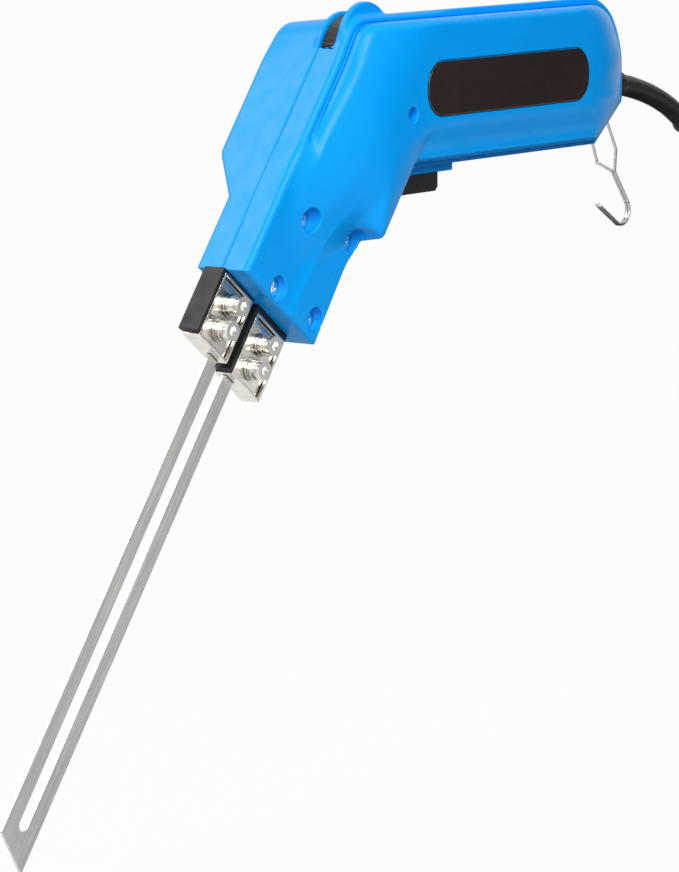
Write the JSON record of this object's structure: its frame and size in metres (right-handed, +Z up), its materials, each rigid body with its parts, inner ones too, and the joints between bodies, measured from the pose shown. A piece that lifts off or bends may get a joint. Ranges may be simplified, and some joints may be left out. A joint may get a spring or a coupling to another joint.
{
  "type": "electric hot knife",
  "caption": "Hand-held electric hot knife: pistol housing, forked flat heating blade in screw terminals, thumbwheel, trigger switch, hanging hook and mains cord.",
  "frame": {"origin": "middle of the grip, on the parting plane", "axes": "+X back along the grip towards the cord, +Y to the right, +Z up"},
  "size_m": [0.5334, 0.0517, 0.2745],
  "materials": {
    "shell": "moulded blue plastic, light satin",
    "label": "glossy black bar, bare",
    "screw": "zinc-plated",
    "blade": "satin, brushed along its length",
    "nickel": "nickel plate",
    "insulator": "black heat-resistant moulding",
    "core": "varnished laminations",
    "bobbin": "natural nylon",
    "copper": "copper",
    "board": "green board",
    "sink": "extruded",
    "yellow": "epoxy dipped",
    "pot": "plated can",
    "control": "black, fine texture",
    "white": "natural acetal",
    "green": "green moulding",
    "rubber": "black soft PVC",
    "lead": "brown and blue insulation",
    "wire": "bright zinc-plated wire"
  },
  "bodies": {
    "housing": {"left_shell": "shell", "right_shell": "shell", "label_plate": "label", "housing_screws": "screw", "blade": "blade", "front_tray": "nickel", "rear_tray": "nickel", "front_insulator": "insulator", "rear_insulator": "insulator", "clamp_plates": "nickel", "clamp_screws": "screw", "plain_washers": "nickel", "spring_washers": "nickel", "transformer_core": "core", "coil_bobbin": "bobbin", "primary_winding": "copper", "secondary_strap": "copper", "circuit_board": "board", "triac": "insulator", "heat_sink": "sink", "capacitor": "yellow", "terminal_block": "green", "potentiometer": "pot", "trigger_spring": "wire", "switch_body": "insulator", "cord_clamp": "insulator", "clamp_bar_screws": "screw", "inner_cord": "rubber", "inner_leads": "lead", "strain_relief": "rubber", "cord_lead": "rubber", "cord_coil": "rubber", "cord_tie": "control", "cord_tail": "rubber", "plug_body": "rubber", "plug_pins": "nickel"},
    "trigger": {"trigger": "control", "switch_plunger": "white"},
    "dial": {"dial_wheel": "control", "dial_shaft": "screw"},
    "hook": {"hanging_hook": "wire"}
  },
  "joints": [
    {"name": "trigger_slide", "type": "slide", "parent": "housing", "child": "trigger", "axis": [0, 0, 1], "range_m": [0, 0.004], "stiffness_N_per_m": 500, "springref_m": -0.004, "deforming": ["trigger_spring"]},
    {"name": "dial_turn", "type": "hinge", "parent": "housing", "child": "dial", "pos_m": [-0.0789, 0, 0.0137], "axis": [0, 1, 0], "range_deg": [-135, 135]},
    {"name": "hook_swing", "type": "hinge", "parent": "housing", "child": "hook", "pos_m": [0.0825, 0, -0.0148], "axis": [0, 1, 0], "range_deg": [-25, 35]}
  ]
}
